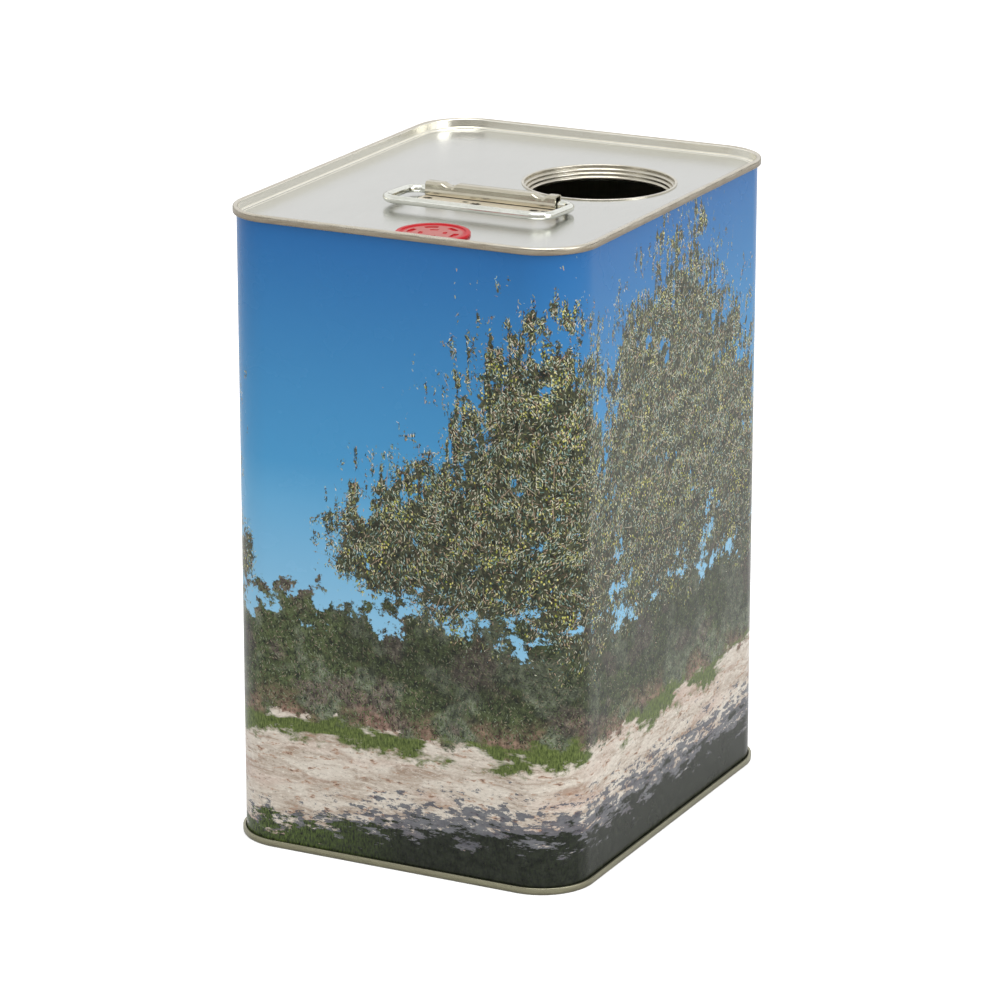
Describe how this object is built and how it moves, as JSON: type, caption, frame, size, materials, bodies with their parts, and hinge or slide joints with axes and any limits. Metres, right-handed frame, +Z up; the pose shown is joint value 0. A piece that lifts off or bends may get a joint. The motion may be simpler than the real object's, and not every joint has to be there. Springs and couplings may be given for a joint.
{
  "type": "rectangular tin",
  "caption": "Tall rectangular tin with rounded corners, rolled seams, an open stepped filling mouth, a flat spout cap and a folding wire handle on top.",
  "frame": {"origin": "centre of the foot, on the surface the tin stands on", "axes": "+Z up, +X along the narrower front face to the right, front face towards -Y"},
  "size_m": [0.1754, 0.2194, 0.2961],
  "materials": {
    "printed_tinplate": "printed and varnished",
    "tinplate": "satin tinplate",
    "mouth_tinplate": "bright rolled tinplate",
    "cap_plastic": "moulded",
    "clip_steel": "lacquered tinplate",
    "wire_steel": "zinc plated"
  },
  "bodies": {
    "tin": {"wall": "printed_tinplate", "top_end": "tinplate", "base_end": "tinplate", "mouth_ring": "mouth_tinplate", "spout_cap": "cap_plastic", "handle_clip": "clip_steel"},
    "handle": {"handle_wire": "wire_steel"}
  },
  "joints": [
    {"name": "handle_hinge", "type": "hinge", "parent": "tin", "child": "handle", "pos_m": [0.0067, -0.023, 0.292], "axis": [-1, 0, 0], "range_deg": [0, 173]}
  ]
}
